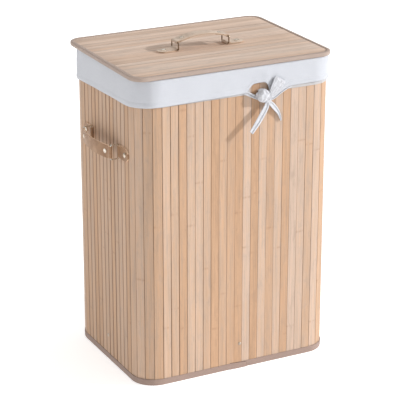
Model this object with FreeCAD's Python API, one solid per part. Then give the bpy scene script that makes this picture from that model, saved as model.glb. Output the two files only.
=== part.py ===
import FreeCAD, Part

import math
import os

from FreeCAD import Matrix, Vector

# Laundry hamper, in millimetres. +X runs to the right along the front, +Y to the back, +Z up.
# The origin is on the floor, under the middle of the wall's footprint.

# ---- Wall: bamboo slats glued side by side on a cloth backing
WIDTH = 400.0  # over the slats, left to right
DEPTH = 298.0  # over the slats, front to back
CORNER_R = 45.0  # outside radius that the slats follow round a corner
SLAT_T = 2.2
SLAT_GAP = 0.5
FRONT_SLATS = 19
SIDE_SLATS = 13
CORNER_SLATS = 4
BACKING_T = 0.8
TAPE_T = 0.7  # binding tape, folded over the edges
BINDING_H = 12.0
RIM_Z = 587.6  # top of the wall's bound edge
LAP_LEFT, LAP_RIGHT = -2.0, 19.0  # where the bottom tape's two ends lie over each other, on the front
LAP_H = 9.5

# ---- Wire frames inside the wall, each held by four folded clips with one rivet each
WIRE_R = 2.0
CLIP_T = 1.4
CLIP_W = 24.0
CLIP_CLEAR = 0.05  # the clip's eye round the wire
LOW_WIRE_Z = 32.0
LOW_RIVET_Z = 50.0
HIGH_WIRE_Z = 571.0
HIGH_RIVET_Z = 553.0
CLIP_TAIL = 9.0  # from the rivet to the clip's end
CLIP_X = 4.0  # the front and back clips are this far right of the middle
BASE_T = 3.0
BASE_EDGE_GAP = 0.6
CLIP_NOTCH_DEPTH = 8.5

# ---- Cloth liner: a bag that hangs inside, turned over the rim into a cuff
CLOTH_T = 1.0
BAG_OFFSET = -9.0  # outside of the bag, from the backing's outer face
BAG_LIFT = 0.3  # the bag's bottom above the base board
RIM_LIFT = 0.3  # the fold above the bound edge
CUFF_IN = 3.7  # inside of the cuff, from the backing's outer face
CUFF_T = 1.2
CUFF_BOTTOM = 538.0
NOTCH_LEFT, NOTCH_RIGHT, NOTCH_TOP = 20.0, 96.0, 559.0
BAND_IN, BAND_T = 3.1, 0.5  # the drawstring tape behind the hem
BAND_H = 9.0

# ---- Bow that ties the drawstring's two ends, in front of the notch
KNOT = Vector(54.0, 0, 525.0)
KNOT_SIZE = (15.0, 7.0, 14.0)
BOW_BACK = 152.4  # the bow starts this far in front of the middle
TIE_W = 8.0
TIE_T = 1.0
LEFT_LOOP = (36.0, 538.0, 11.5, 3.4, 11.5)  # centre x, z, and half sizes
RIGHT_LOOP_TIP = (76.0, 562.0)
RIGHT_LOOP_HALF = (9.0, 3.2)
LONG_TAIL_TIP = (21.5, 472.0)
SHORT_TAIL_MID = (72.0, 506.0)
SHORT_TAIL_TIP = (81.5, 481.0)

# ---- Lid: a bound board with slats on top, lying loose and a little askew on the cuff
LID_W, LID_D, LID_R = 405.8, 303.5, 27.0
LID_X, LID_Y = -4.7, 1.8
LID_Z = 589.0
LID_TAPE = 0.6
LID_TAPE_W = 7.0  # how far the tape covers the top and the bottom
LINING_T = 0.6
BOARD_T = 4.2
LID_SLAT_T = 2.0
LID_SLATS = 18
LID_SLAT_GAP = 0.4

# ---- Handles: a leather strap between two wire rings, each ring in a riveted leather tab
RING_WIRE_R = 1.2
RING_OUT_W = 30.0  # outside width
RING_BEND = 2.4  # corner radius of the wire's centreline
EYE_CLEAR = 0.1
LEATHER = 1.5
STRAP_W = 24.6
NECK_W = 22.2  # leather inside a ring, between the wire's bends
NECK_END, NECK_FLARE = 4.0, 6.5  # from the ring's bar: where the neck ends, and where the full width starts
STRAP_RISE = 9.0
TONGUE = 26.0  # how far the strap's folded end runs back
STRAP_RIVET_IN = 14.0  # from the ring to the strap's rivet
TAB_WEDGE = 9.0  # where the tab's two layers meet behind the ring
TAB_RIVET = (4.8, 2.8)  # head radius and height
STRAP_RIVET = (4.2, 1.6)
TAIL_SEAT = 0.06  # the strap rivet's flat tail stands this far off the arched leather
CLIP_RIVET = (3.4, 1.4)
SHANK_R = 1.5
WASHER_R, WASHER_T = 6.5, 0.8
TAIL_R, TAIL_H = 2.8, 0.8
SIDE_HANDLE = {"half": 60.0, "ring": 16.0, "tab": 38.0}
LID_HANDLE = {"half": 52.0, "ring": 14.0, "tab": 36.0}
SIDE_HANDLE_Y, SIDE_HANDLE_Z = -8.0, 441.0
LID_HANDLE_X, LID_HANDLE_Y = -7.0, -8.0

EYE_HOLE = RING_WIRE_R + EYE_CLEAR
EYE_R = EYE_HOLE + LEATHER  # also the height of the ring's bar above the panel

# The wall's outline is a polygon with its corners on this rounded rectangle, at the backing's outer face.
HALF_X = WIDTH / 2 - SLAT_T
HALF_Y = DEPTH / 2 - SLAT_T
PATH_R = CORNER_R - SLAT_T
SIDES = ("front", "front_right", "right", "back_right", "back", "back_left", "left", "front_left")


def prism(points, low, high):
    """An upright prism over a polygon of (x, y) points."""
    corners = [Vector(x, y, low) for x, y in points]
    return Part.Face(Part.makePolygon(corners + corners[:1])).extrude(Vector(0, 0, high - low))


def wall_path():
    """The wall's polygon as (point, side that starts there), anticlockwise from the front's left end."""
    found = []
    for turn in range(4):
        start = math.radians(90 * turn - 90)
        sx, sy = ((1, -1), (1, 1), (-1, 1), (-1, -1))[turn]
        cx, cy = sx * (HALF_X - PATH_R), sy * (HALF_Y - PATH_R)
        for step in range(CORNER_SLATS + 1):
            angle = start + math.radians(90) * step / CORNER_SLATS
            side = 2 * turn + (1 if step < CORNER_SLATS else 2)
            found.append(((cx + PATH_R * math.cos(angle), cy + PATH_R * math.sin(angle)), SIDES[side % 8]))
    return found[-1:] + found[:-1]


def outline(offset):
    """The wall's polygon moved outwards, with mitred corners."""
    points = [p for p, _ in wall_path()]
    moved = []
    for i, p in enumerate(points):
        before, after = points[i - 1], points[(i + 1) % len(points)]
        first = math.atan2(p[1] - before[1], p[0] - before[0]) - math.pi / 2
        second = math.atan2(after[1] - p[1], after[0] - p[0]) - math.pi / 2
        half = math.remainder(second - first, 2 * math.pi) / 2
        reach = offset / math.cos(half)
        moved.append((p[0] + reach * math.cos(first + half), p[1] + reach * math.sin(first + half)))
    return moved


def tube(inner, outer, low, high):
    """One closed band round the wall."""
    return prism(outline(outer), low, high).cut(prism(outline(inner), low, high))


def facets(inner, outer, low, high):
    """The same band as flat panels, one along each edge of the polygon, as (side, panel)."""
    a, b = outline(inner), outline(outer)
    n = len(a)
    quads = [(a[i], b[i], b[(i + 1) % n], a[(i + 1) % n]) for i in range(n)]
    return [(side, prism(quad, low, high)) for (_, side), quad in zip(wall_path(), quads)]


def frame(origin, u, v, w):
    """The matrix that puts local u, v, w axes at a place on the object."""
    return Matrix(u[0], v[0], w[0], origin[0], u[1], v[1], w[1], origin[1], u[2], v[2], w[2], origin[2], 0, 0, 0, 1)


def wall_frame(side, along, z, offset=SLAT_T):
    """Local axes on the middle of a side: w points out of the wall and v points up."""
    if side in ("front", "back"):
        sign = -1 if side == "front" else 1
        return frame((along, sign * (HALF_Y + offset), z), (-sign, 0, 0), (0, 0, 1), (0, sign, 0))
    sign = -1 if side == "left" else 1
    return frame((sign * (HALF_X + offset), along, z), (0, sign, 0), (0, 0, 1), (sign, 0, 0))


def rod(radius, low, high, u=0.0, v=0.0):
    """A cylinder along local w."""
    return Part.makeCylinder(radius, high - low, Vector(u, v, low), Vector(0, 0, 1))


def dome(radius, height, base, u=0.0, v=0.0):
    """A rivet's head: a spherical cap standing on a short rim."""
    rim = 0.35 * height
    cap = height - rim
    ball = (radius * radius + cap * cap) / (2 * cap)
    sphere = Part.makeSphere(ball, Vector(u, v, base + height - ball))
    return rod(radius, base, base + rim, u, v).fuse(
        sphere.common(rod(radius, base + rim, base + height + 1, u, v))
    ).removeSplitter()


def rivet(head, grip_low, grip_high, u=0.0, v=0.0):
    """A rivet along local w, its head above grip_high and its spread tail below grip_low."""
    shank = rod(SHANK_R, grip_low, grip_high, u, v)
    tail = rod(TAIL_R, grip_low - TAIL_H, grip_low, u, v)
    return dome(head[0], head[1], grip_high, u, v).fuse([shank, tail]).removeSplitter()


def rounded_rectangle(width, depth, radius):
    """A closed wire of four lines and four arcs, in local x and y."""
    x, y = width / 2, depth / 2
    k = radius * (1 - math.sqrt(0.5))
    edges = []
    for sx, sy, flip in ((1, -1, False), (1, 1, True), (-1, 1, False), (-1, -1, True)):
        ends = [Vector(sx * (x - radius), sy * y, 0), Vector(sx * x, sy * (y - radius), 0)]
        if flip:
            ends.reverse()
        edges.append((ends[0], Vector(sx * (x - k), sy * (y - k), 0), ends[1]))
    lines = []
    for i, (start, middle, end) in enumerate(edges):
        lines.append(Part.Arc(start, middle, end).toShape())
        lines.append(Part.LineSegment(end, edges[(i + 1) % 4][0]).toShape())
    return Part.Wire(lines)


def wire_loop(width, depth, radius, wire_r):
    """Round wire bent to a rounded rectangle, in the x-y plane."""
    path = rounded_rectangle(width, depth, radius)
    start = path.Edges[1]
    middle = start.valueAt((start.FirstParameter + start.LastParameter) / 2)
    along = start.tangentAt(start.FirstParameter)
    edges = path.Edges
    ordered = edges[1:] + edges[:1]
    first = Part.LineSegment(middle, ordered[0].Vertexes[1].Point).toShape()
    last = Part.LineSegment(ordered[0].Vertexes[0].Point, middle).toShape()
    spine = Part.Wire([first] + ordered[1:] + [last])
    section = Part.Wire(Part.makeCircle(wire_r, middle, along))
    return spine.makePipeShell([section], True, True)


def across(points, half_width):
    """A piece drawn in local u and w and stretched across local v."""
    corners = [Vector(u, -half_width, w) for u, w in points]
    return Part.Face(Part.makePolygon(corners + corners[:1])).extrude(Vector(0, 2 * half_width, 0))


def bar(radius, length, u, w):
    """A cylinder across local v."""
    return Part.makeCylinder(radius, length, Vector(u, -length / 2, w), Vector(0, 1, 0))


def tab(handle, sign):
    """A leather tab: two layers, with a round end and an eye for the ring."""
    inner, outer = handle["half"], handle["half"] + handle["tab"]
    half, neck = STRAP_W / 2, NECK_W / 2
    edge = [(inner, neck), (inner + NECK_END, neck), (inner + NECK_FLARE, half), (outer - half, half)]
    straight = prism([(u, -v) for u, v in edge] + edge[::-1], 0, EYE_R)
    end = rod(half, 0, EYE_R, outer - half)
    wedge = across([(inner, 0), (inner, 2 * EYE_R - 0.1), (inner + TAB_WEDGE, EYE_R), (inner + TAB_WEDGE, 0)], neck)
    eye = bar(EYE_R, NECK_W, inner, EYE_R)
    made = straight.fuse([end, wedge, eye]).removeSplitter()
    made = made.cut(bar(EYE_HOLE, STRAP_W + 2, inner, EYE_R))
    made = made.cut(rod(SHANK_R, -1, EYE_R + 1, tab_rivet_at(handle)))
    return made if sign > 0 else made.mirror(Vector(), Vector(1, 0, 0))


def tab_rivet_at(handle):
    return handle["half"] + handle["tab"] - STRAP_W / 2


def ring(handle, sign):
    """A wire ring that stands across the handle, its lower bar in the tab's eye."""
    width, height = RING_OUT_W - 2 * RING_WIRE_R, handle["ring"]
    made = wire_loop(height, width, RING_BEND, RING_WIRE_R)
    made.rotate(Vector(), Vector(0, 1, 0), -90)
    made.translate(Vector(sign * handle["half"], 0, EYE_R + height / 2))
    return made


def arch_radius(handle):
    return (handle["half"] ** 2 + STRAP_RISE ** 2) / (2 * STRAP_RISE)


def arch_point(handle, distance, lift):
    """Local (u, w) on the strap's arch, at a distance along it from the right ring, lifted off its midline."""
    radius = arch_radius(handle)
    centre_w = EYE_R + handle["ring"] + STRAP_RISE - radius
    angle = math.asin(handle["half"] / radius) - distance / radius
    return (radius + lift) * math.sin(angle), centre_w + (radius + lift) * math.cos(angle), angle


def arch_layer(handle, start, end, low, high):
    """One layer of the strap, between two distances from the right ring and two lifts."""
    def arc(lift, a, b):
        places = [arch_point(handle, d, lift) for d in (a, (a + b) / 2, b)]
        ends = [Vector(u, -STRAP_W / 2, w) for u, w, _ in places]
        return Part.Arc(*ends).toShape()

    top, bottom = arc(high, start, end), arc(low, end, start)
    sides = [Part.LineSegment(top.Vertexes[-1].Point, bottom.Vertexes[0].Point).toShape(),
             Part.LineSegment(bottom.Vertexes[-1].Point, top.Vertexes[0].Point).toShape()]
    face = Part.Face(Part.Wire([top, sides[0], bottom, sides[1]]))
    return face.extrude(Vector(0, STRAP_W, 0))


def neck_cuts(handle, sign):
    """What is trimmed off the strap's sides where it passes through a ring."""
    at, half, neck = handle["half"], STRAP_W / 2, NECK_W / 2
    edge = [(at - NECK_FLARE, half), (at - NECK_END, neck), (at + EYE_R + 1, neck),
            (at + EYE_R + 1, half + 1), (at - NECK_FLARE, half + 1)]
    low, high = handle["ring"] - EYE_R, handle["ring"] + STRAP_RISE + 3 * EYE_R
    return [prism([(sign * u, side * v) for u, v in edge], low, high) for side in (-1, 1)]


def strap(handle):
    """The grip: leather folded round both rings, each folded end riveted back on itself."""
    bar_w = EYE_R + handle["ring"]
    length = 2 * arch_radius(handle) * math.asin(handle["half"] / arch_radius(handle))
    layer = EYE_R / 2
    made = arch_layer(handle, 0, length, 0, layer)
    pieces = []
    for sign in (-1, 1):
        near, far = (0, TONGUE) if sign > 0 else (length - TONGUE, length)
        pieces.append(arch_layer(handle, near, far, -layer, 0))
        pieces.append(bar(EYE_R, NECK_W, sign * handle["half"], bar_w))
        u, w, angle = arch_point(handle, TAB_WEDGE, 0)
        out = Vector(math.sin(angle), 0, math.cos(angle))
        root = Vector(handle["half"], 0, bar_w)
        corners = [root + out * EYE_R * 0.98, Vector(u, 0, w) + out * layer * 0.9,
                   Vector(u, 0, w) - out * layer * 0.9, root - out * EYE_R * 0.98]
        pieces.append(across([(sign * c.x, c.z) for c in corners], NECK_W / 2))
    made = made.fuse(pieces).removeSplitter()
    for sign in (-1, 1):
        made = made.cut(neck_cuts(handle, sign))
        made = made.cut(bar(EYE_HOLE, STRAP_W + 2, sign * handle["half"], bar_w))
        made = made.cut(strap_rivet_place(handle, sign, rod(SHANK_R, -6, 6)))
    return made


def strap_rivet_place(handle, sign, shape):
    """Turns a shape made along local w onto the strap's face, where a rivet goes."""
    u, w, angle = arch_point(handle, STRAP_RIVET_IN, 0)
    placed = shape.copy()
    placed.rotate(Vector(), Vector(0, 1, 0), math.degrees(angle) * sign)
    placed.translate(Vector(sign * u, 0, w))
    return placed


def strap_rivets(handle):
    layer = EYE_R / 2
    made = rivet(STRAP_RIVET, -layer - TAIL_SEAT, layer)
    return [strap_rivet_place(handle, sign, made) for sign in (-1, 1)]


def tab_rivets(handle, depth):
    """The tabs' rivets, through a panel of the given depth and a washer behind it."""
    return [rivet(TAB_RIVET, -depth - WASHER_T, EYE_R, sign * tab_rivet_at(handle)) for sign in (-1, 1)]


def washers(handle, depth):
    return [rod(WASHER_R, -depth - WASHER_T, -depth, u).cut(rod(SHANK_R, -depth - WASHER_T - 1, 0, u))
            for u in (-tab_rivet_at(handle), tab_rivet_at(handle))]


def rivet_holes(handle, depth):
    return [rod(SHANK_R, -depth - 0.5, 0.5, sign * tab_rivet_at(handle)) for sign in (-1, 1)]


def put(shape, matrix):
    """A copy of a local shape, placed on the object."""
    copy = shape.copy()
    copy.Placement = FreeCAD.Placement(matrix).multiply(copy.Placement)
    return copy


def cut_all(shape, tools):
    near = [t for t in tools if shape.BoundBox.intersect(t.BoundBox)]
    return shape.cut(near) if near else shape


def slats():
    """The wall's slats, grouped by side; every slat is flat, so the gaps open outwards at the corners."""
    low, high = TAPE_T, RIM_Z - TAPE_T
    points = [p for p, _ in wall_path()]
    groups = {side: [] for side in SIDES}
    for i, (p, side) in enumerate(wall_path()):
        q = points[(i + 1) % len(points)]
        count = {"front": FRONT_SLATS, "back": FRONT_SLATS, "left": SIDE_SLATS, "right": SIDE_SLATS}.get(side, 1)
        length = math.hypot(q[0] - p[0], q[1] - p[1])
        tx, ty = (q[0] - p[0]) / length, (q[1] - p[1]) / length
        for k in range(count):
            a, b = length * k / count + SLAT_GAP / 2, length * (k + 1) / count - SLAT_GAP / 2
            inner = [(p[0] + tx * d, p[1] + ty * d) for d in (a, b)]
            outer = [(x + ty * SLAT_T, y - tx * SLAT_T) for x, y in inner]
            groups[side].append(prism([inner[0], outer[0], outer[1], inner[1]], low, high))
    return groups


def clip(wire_z, rivet_z):
    """A folded clip behind the wall, drawn with w pointing into the hamper, its eye round the wire."""
    end = rivet_z + math.copysign(CLIP_TAIL, rivet_z - wire_z)
    low, high = sorted((wire_z, end))
    eye_r = WIRE_R + CLIP_CLEAR + CLIP_T
    body = Part.makeBox(CLIP_W, high - low, 2 * CLIP_T, Vector(-CLIP_W / 2, low, 0))
    eye = Part.makeCylinder(eye_r, CLIP_W, Vector(-CLIP_W / 2, wire_z, eye_r), Vector(1, 0, 0))
    hole = Part.makeCylinder(WIRE_R + CLIP_CLEAR, CLIP_W + 2, Vector(-CLIP_W / 2 - 1, wire_z, eye_r), Vector(1, 0, 0))
    return body.fuse(eye).removeSplitter().cut(hole)


def clip_places():
    return [("front", CLIP_X), ("back", CLIP_X), ("left", 0.0), ("right", 0.0)]


def inward(side, along):
    """Local axes behind the backing, with w pointing into the hamper and v up from the floor."""
    out = wall_frame(side, along, 0, -BACKING_T)
    return out.multiply(Matrix(-1, 0, 0, 0, 0, 1, 0, 0, 0, 0, -1, 0, 0, 0, 0, 1))


def wall():
    nodes = {}
    grip = SLAT_T + BACKING_T
    holes = []
    for side in ("left", "right"):
        place = wall_frame(side, SIDE_HANDLE_Y, SIDE_HANDLE_Z)
        holes += [put(h, place) for h in rivet_holes(SIDE_HANDLE, grip)]
    clips = {"lower": [], "upper": []}
    rivets = {"lower": [], "upper": []}
    for name, wire_z, rivet_z in (("lower", LOW_WIRE_Z, LOW_RIVET_Z), ("upper", HIGH_WIRE_Z, HIGH_RIVET_Z)):
        for side, along in clip_places():
            out = wall_frame(side, along, rivet_z)
            shank = put(rod(SHANK_R, -grip - 2 * CLIP_T - 1, 1), out)
            holes.append(shank)
            clips[name].append(put(clip(wire_z, rivet_z), inward(side, along)).cut(shank))
            rivets[name].append(put(rivet(CLIP_RIVET, -grip - 2 * CLIP_T, 0), out))
    for side, group in slats().items():
        name = f"{side}_slats" if "_" not in side else f"{side}_corner_slats"
        nodes[name] = [cut_all(s, holes) for s in group]
    slat_low, slat_high = TAPE_T, RIM_Z - TAPE_T
    nodes["backing_cloth"] = [cut_all(tube(-BACKING_T, 0, slat_low, slat_high), holes)]
    covered = tube(-BACKING_T, SLAT_T, slat_low, slat_high)
    inner, outer = -BACKING_T - TAPE_T, SLAT_T + TAPE_T
    nodes["top_binding"] = [tube(inner, outer, RIM_Z - BINDING_H, RIM_Z).cut(covered)]
    front = -(HALF_Y + outer)
    lap = Part.makeBox(LAP_RIGHT - LAP_LEFT, TAPE_T, LAP_H, Vector(LAP_LEFT, front - TAPE_T, 0))
    corner = [e for e in lap.Edges if all(abs(v.X - LAP_RIGHT) < 0.01 and abs(v.Z - LAP_H) < 0.01 for v in e.Vertexes)]
    lap = lap.makeFillet(0.4 * LAP_H, corner)
    nodes["bottom_binding"] = [tube(inner, outer, 0, BINDING_H).cut(covered).fuse(lap).removeSplitter()]
    wire_in = BACKING_T + WIRE_R + CLIP_CLEAR + CLIP_T
    for name, z in (("lower", LOW_WIRE_Z), ("upper", HIGH_WIRE_Z)):
        loop = wire_loop(2 * (HALF_X - wire_in), 2 * (HALF_Y - wire_in), PATH_R - wire_in, WIRE_R)
        loop.translate(Vector(0, 0, z))
        nodes[f"{name}_wire_frame"] = [loop]
        nodes[f"{name}_wire_clips"] = clips[name]
        nodes[f"{name}_clip_rivets"] = rivets[name]
    base_low = LOW_WIRE_Z + WIRE_R
    board = prism(outline(-BACKING_T - BASE_EDGE_GAP), base_low, base_low + BASE_T)
    for side, along in clip_places():
        notch = Part.makeBox(CLIP_W + 2, BASE_T + 2, CLIP_NOTCH_DEPTH, Vector(-CLIP_W / 2 - 1, base_low - 1, -1))
        board = board.cut(put(notch, inward(side, along)))
    nodes["base_board"] = [board]
    return nodes


def liner():
    """The bag and its cuff, as the flat cloth panels that it is sewn from, with the drawstring behind the hem."""
    nodes = {}
    bag_low = LOW_WIRE_Z + WIRE_R + BASE_T + BAG_LIFT
    fold_low = RIM_Z + RIM_LIFT
    fold_high = fold_low + CLOTH_T
    nodes["liner_bottom"] = [prism(outline(BAG_OFFSET), bag_low, bag_low + CLOTH_T)]
    walls = facets(BAG_OFFSET - CLOTH_T, BAG_OFFSET, bag_low + CLOTH_T, fold_low)
    nodes["liner_bag"] = [panel for _, panel in walls]
    over = facets(BAG_OFFSET - CLOTH_T, CUFF_IN + CUFF_T, fold_low, fold_high)
    nodes["liner_fold"] = [panel for _, panel in over]
    front = -(HALF_Y + CUFF_IN + CUFF_T + 1)
    low = CUFF_BOTTOM - 1
    arc = Part.Arc(Vector(NOTCH_LEFT, front, low), Vector((NOTCH_LEFT + NOTCH_RIGHT) / 2, front, NOTCH_TOP),
                   Vector(NOTCH_RIGHT, front, low)).toShape()
    base = Part.LineSegment(Vector(NOTCH_RIGHT, front, low), Vector(NOTCH_LEFT, front, low)).toShape()
    notch = Part.Face(Part.Wire([arc, base])).extrude(Vector(0, 3 + CUFF_IN, 0))
    cuff = [panel for _, panel in facets(CUFF_IN, CUFF_IN + CUFF_T, CUFF_BOTTOM, fold_low)]
    nodes["liner_cuff"] = [cut_all(panel, [notch]) for panel in cuff]
    band = tube(BAND_IN, BAND_IN + BAND_T, CUFF_BOTTOM + 1, CUFF_BOTTOM + 1 + BAND_H)
    gap = Part.makeBox(NOTCH_RIGHT - NOTCH_LEFT, 20, BAND_H + 4,
                       Vector(NOTCH_LEFT, -HALF_Y - 10, CUFF_BOTTOM - 1))
    nodes["drawstring"] = [band.cut(gap)]
    return nodes


def ribbon(points, width, back, thick):
    """A flat strip that follows (x, z) points in front of the cuff."""
    made = []
    for (x0, z0), (x1, z1) in zip(points, points[1:]):
        length = math.hypot(x1 - x0, z1 - z0)
        nx, nz = -(z1 - z0) / length * width / 2, (x1 - x0) / length * width / 2
        corners = [Vector(x, -back, z) for x, z in
                   ((x0 + nx, z0 + nz), (x1 + nx, z1 + nz), (x1 - nx, z1 - nz), (x0 - nx, z0 - nz))]
        made.append(Part.Face(Part.makePolygon(corners + corners[:1])).extrude(Vector(0, -thick, 0)))
    for x, z in points[1:-1]:
        made.append(Part.makeCylinder(width / 2, thick, Vector(x, -back, z), Vector(0, -1, 0)))
    return made[0].fuse(made[1:]).removeSplitter() if len(made) > 1 else made[0]


def ellipsoid(centre, halves):
    ball = Part.makeSphere(1.0)
    return ball.transformGeometry(Matrix(halves[0], 0, 0, centre[0], 0, halves[1], 0, centre[1],
                                         0, 0, halves[2], centre[2], 0, 0, 0, 1))


def bow(drawstring):
    """The tie: a knot, two loops, two tails and the two ends that run in from the hem."""
    nodes = {}
    w, d, h = KNOT_SIZE
    knot = Part.makeBox(w, d, h, Vector(KNOT.x - w / 2, -BOW_BACK - d, KNOT.z - h / 2))
    knot = knot.makeFillet(2.5, knot.Edges)
    nodes["bow_knot"] = [knot]
    cx, cz, rx, ry, rz = LEFT_LOOP
    left = ellipsoid((cx, -BOW_BACK - ry, cz), (rx, ry, rz)).cut(knot)
    tip_x, tip_z = RIGHT_LOOP_TIP
    long = math.hypot(tip_x - KNOT.x, tip_z - KNOT.z) / 2
    right = ellipsoid((0, 0, 0), (long, RIGHT_LOOP_HALF[1], RIGHT_LOOP_HALF[0]))
    right.rotate(Vector(), Vector(0, 1, 0), -math.degrees(math.atan2(tip_z - KNOT.z, tip_x - KNOT.x)))
    right.translate(Vector((tip_x + KNOT.x) / 2, -BOW_BACK - RIGHT_LOOP_HALF[1], (tip_z + KNOT.z) / 2))
    nodes["bow_loops"] = [left.cut(right), right.cut(knot)]
    low = (KNOT.x, KNOT.z - 4)
    tails = [ribbon([low, LONG_TAIL_TIP], TIE_W, BOW_BACK + 1, TIE_T),
             ribbon([low, SHORT_TAIL_MID, SHORT_TAIL_TIP], TIE_W, BOW_BACK + 1 + TIE_T, TIE_T)]
    nodes["bow_tails"] = [t.cut(knot) for t in tails]
    back = HALF_Y + BAND_IN
    hem = CUFF_BOTTOM + 1 + BAND_H / 2
    ends = [ribbon([(x, hem), (KNOT.x, KNOT.z)], 0.6 * TIE_W, back, BAND_T).cut(drawstring)
            for x in (NOTCH_LEFT, NOTCH_RIGHT)]
    nodes["tie_ends"] = [ends[0], ends[1].cut(ends[0])]
    return nodes


def lid():
    nodes = {}
    bottom = LID_Z + LID_TAPE
    board_low = bottom + LINING_T
    slat_low = board_low + BOARD_T
    slat_high = slat_low + LID_SLAT_T
    depth = slat_high - bottom

    def plate(shrink, low, high):
        wire = rounded_rectangle(LID_W - 2 * shrink, LID_D - 2 * shrink, LID_R - shrink)
        made = Part.Face(wire).extrude(Vector(0, 0, high - low))
        made.translate(Vector(LID_X, LID_Y, low))
        return made

    place = frame((LID_HANDLE_X, LID_HANDLE_Y, slat_high), (1, 0, 0), (0, 1, 0), (0, 0, 1))
    holes = [put(h, place) for h in rivet_holes(LID_HANDLE, depth)]
    nodes["lid_lining"] = [cut_all(plate(LID_TAPE, bottom, board_low), holes)]
    nodes["lid_board"] = [cut_all(plate(LID_TAPE, board_low, slat_low), holes)]
    pitch = (LID_D - 2 * LID_TAPE) / LID_SLATS
    start = LID_Y - LID_D / 2 + LID_TAPE
    skin = plate(LID_TAPE, slat_low, slat_high)
    strips = [Part.makeBox(LID_W + 2, pitch - LID_SLAT_GAP, LID_SLAT_T + 2,
                           Vector(LID_X - LID_W / 2 - 1, start + k * pitch + LID_SLAT_GAP / 2, slat_low - 1))
              for k in range(LID_SLATS)]
    nodes["lid_slats"] = [cut_all(skin.common(s).Solids[0], holes) for s in strips]
    outer = plate(0, LID_Z, slat_high + LID_TAPE)
    window = plate(LID_TAPE_W, LID_Z - 1, slat_high + LID_TAPE + 1)
    nodes["lid_binding"] = [outer.cut(window).cut(plate(LID_TAPE, bottom, slat_high))]
    return nodes, place, depth


def handle_nodes(prefix, handle, place, depth, ends):
    """One handle's nodes; ends names its two ends, the one at -u first."""
    nodes = {}
    for sign, end in zip((-1, 1), ends):
        nodes[f"{prefix}_tab_{end}"] = [put(tab(handle, sign), place)]
        nodes[f"{prefix}_ring_{end}"] = [put(ring(handle, sign), place)]
    nodes[f"{prefix}_tab_rivets"] = [put(s, place) for s in tab_rivets(handle, depth)]
    nodes[f"{prefix}_washers"] = [put(s, place) for s in washers(handle, depth)]
    nodes[f"{prefix}_strap"] = [put(strap(handle), place)]
    nodes[f"{prefix}_strap_rivets"] = [put(s, place) for s in strap_rivets(handle)]
    return nodes


def build():
    nodes = {**wall(), **liner()}
    nodes.update(bow(nodes["drawstring"][0]))
    lid_made, lid_place, lid_depth = lid()
    nodes.update(lid_made)
    nodes.update(handle_nodes("lid_handle", LID_HANDLE, lid_place, lid_depth, ("left", "right")))
    grip = SLAT_T + BACKING_T
    for side, ends in (("left", ("rear", "front")), ("right", ("front", "rear"))):
        place = wall_frame(side, SIDE_HANDLE_Y, SIDE_HANDLE_Z)
        nodes.update(handle_nodes(f"{side}_handle", SIDE_HANDLE, place, grip, ends))
    return nodes


def main():
    os.makedirs("parts", exist_ok=True)
    for name, solids in build().items():
        for solid in solids:
            if not solid.isValid() or solid.Volume <= 0 or len(solid.Solids) != 1:
                raise ValueError(f"{name} has a solid that isn't valid")
        shape = solids[0] if len(solids) == 1 else Part.makeCompound(solids)
        shape.exportStep(f"parts/{name}.step")
        print(f"{name}: {len(solids)} solids, {sum(s.Volume for s in solids) / 1000:.2f} cm3")


main()
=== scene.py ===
import math
import random

import bmesh
import bpy
from mathutils import Matrix, Vector, geometry, noise


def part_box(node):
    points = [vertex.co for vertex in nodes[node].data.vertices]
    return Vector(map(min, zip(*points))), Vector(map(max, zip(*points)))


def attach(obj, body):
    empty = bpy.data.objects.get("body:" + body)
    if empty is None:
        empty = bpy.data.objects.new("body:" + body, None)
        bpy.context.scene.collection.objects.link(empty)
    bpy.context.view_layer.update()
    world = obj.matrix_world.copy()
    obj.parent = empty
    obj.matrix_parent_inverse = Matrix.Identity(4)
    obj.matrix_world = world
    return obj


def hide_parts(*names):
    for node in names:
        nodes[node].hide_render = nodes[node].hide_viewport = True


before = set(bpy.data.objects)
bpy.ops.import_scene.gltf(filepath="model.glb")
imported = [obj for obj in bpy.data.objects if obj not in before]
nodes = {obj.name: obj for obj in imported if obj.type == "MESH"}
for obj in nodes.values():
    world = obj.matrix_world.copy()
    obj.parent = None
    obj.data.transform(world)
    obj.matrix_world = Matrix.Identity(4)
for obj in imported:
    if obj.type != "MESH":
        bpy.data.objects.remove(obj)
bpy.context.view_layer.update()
MM = 0.001

# ---- Sizes read from the frame, in metres
WALL_LOW = Vector((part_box("left_slats")[0].x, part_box("front_slats")[0].y, 0))
WALL_HIGH = Vector((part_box("right_slats")[1].x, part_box("back_slats")[1].y, 0))
SLAT_LOW, SLAT_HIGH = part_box("front_slats")[0].z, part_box("front_slats")[1].z
RIM_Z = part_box("top_binding")[1].z
TAPE_H = 12 * MM
FOLD_LOW, FOLD_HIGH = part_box("liner_fold")[0].z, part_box("liner_fold")[1].z
CUFF_TOP = FOLD_LOW - 2.5 * MM
BAG_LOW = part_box("liner_bottom")[0].z
CUFF_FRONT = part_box("liner_cuff")[0].y
LID_LOW, LID_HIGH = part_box("lid_binding")
LID_SLAT_LOW, LID_SLAT_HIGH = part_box("lid_slats")[0].z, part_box("lid_slats")[1].z
BOW_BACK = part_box("bow_knot")[1].y

# ---- Sizes of the looks, in metres
SLAT_T = 2.2 * MM
SLAT_GAP = 0.5 * MM
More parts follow.
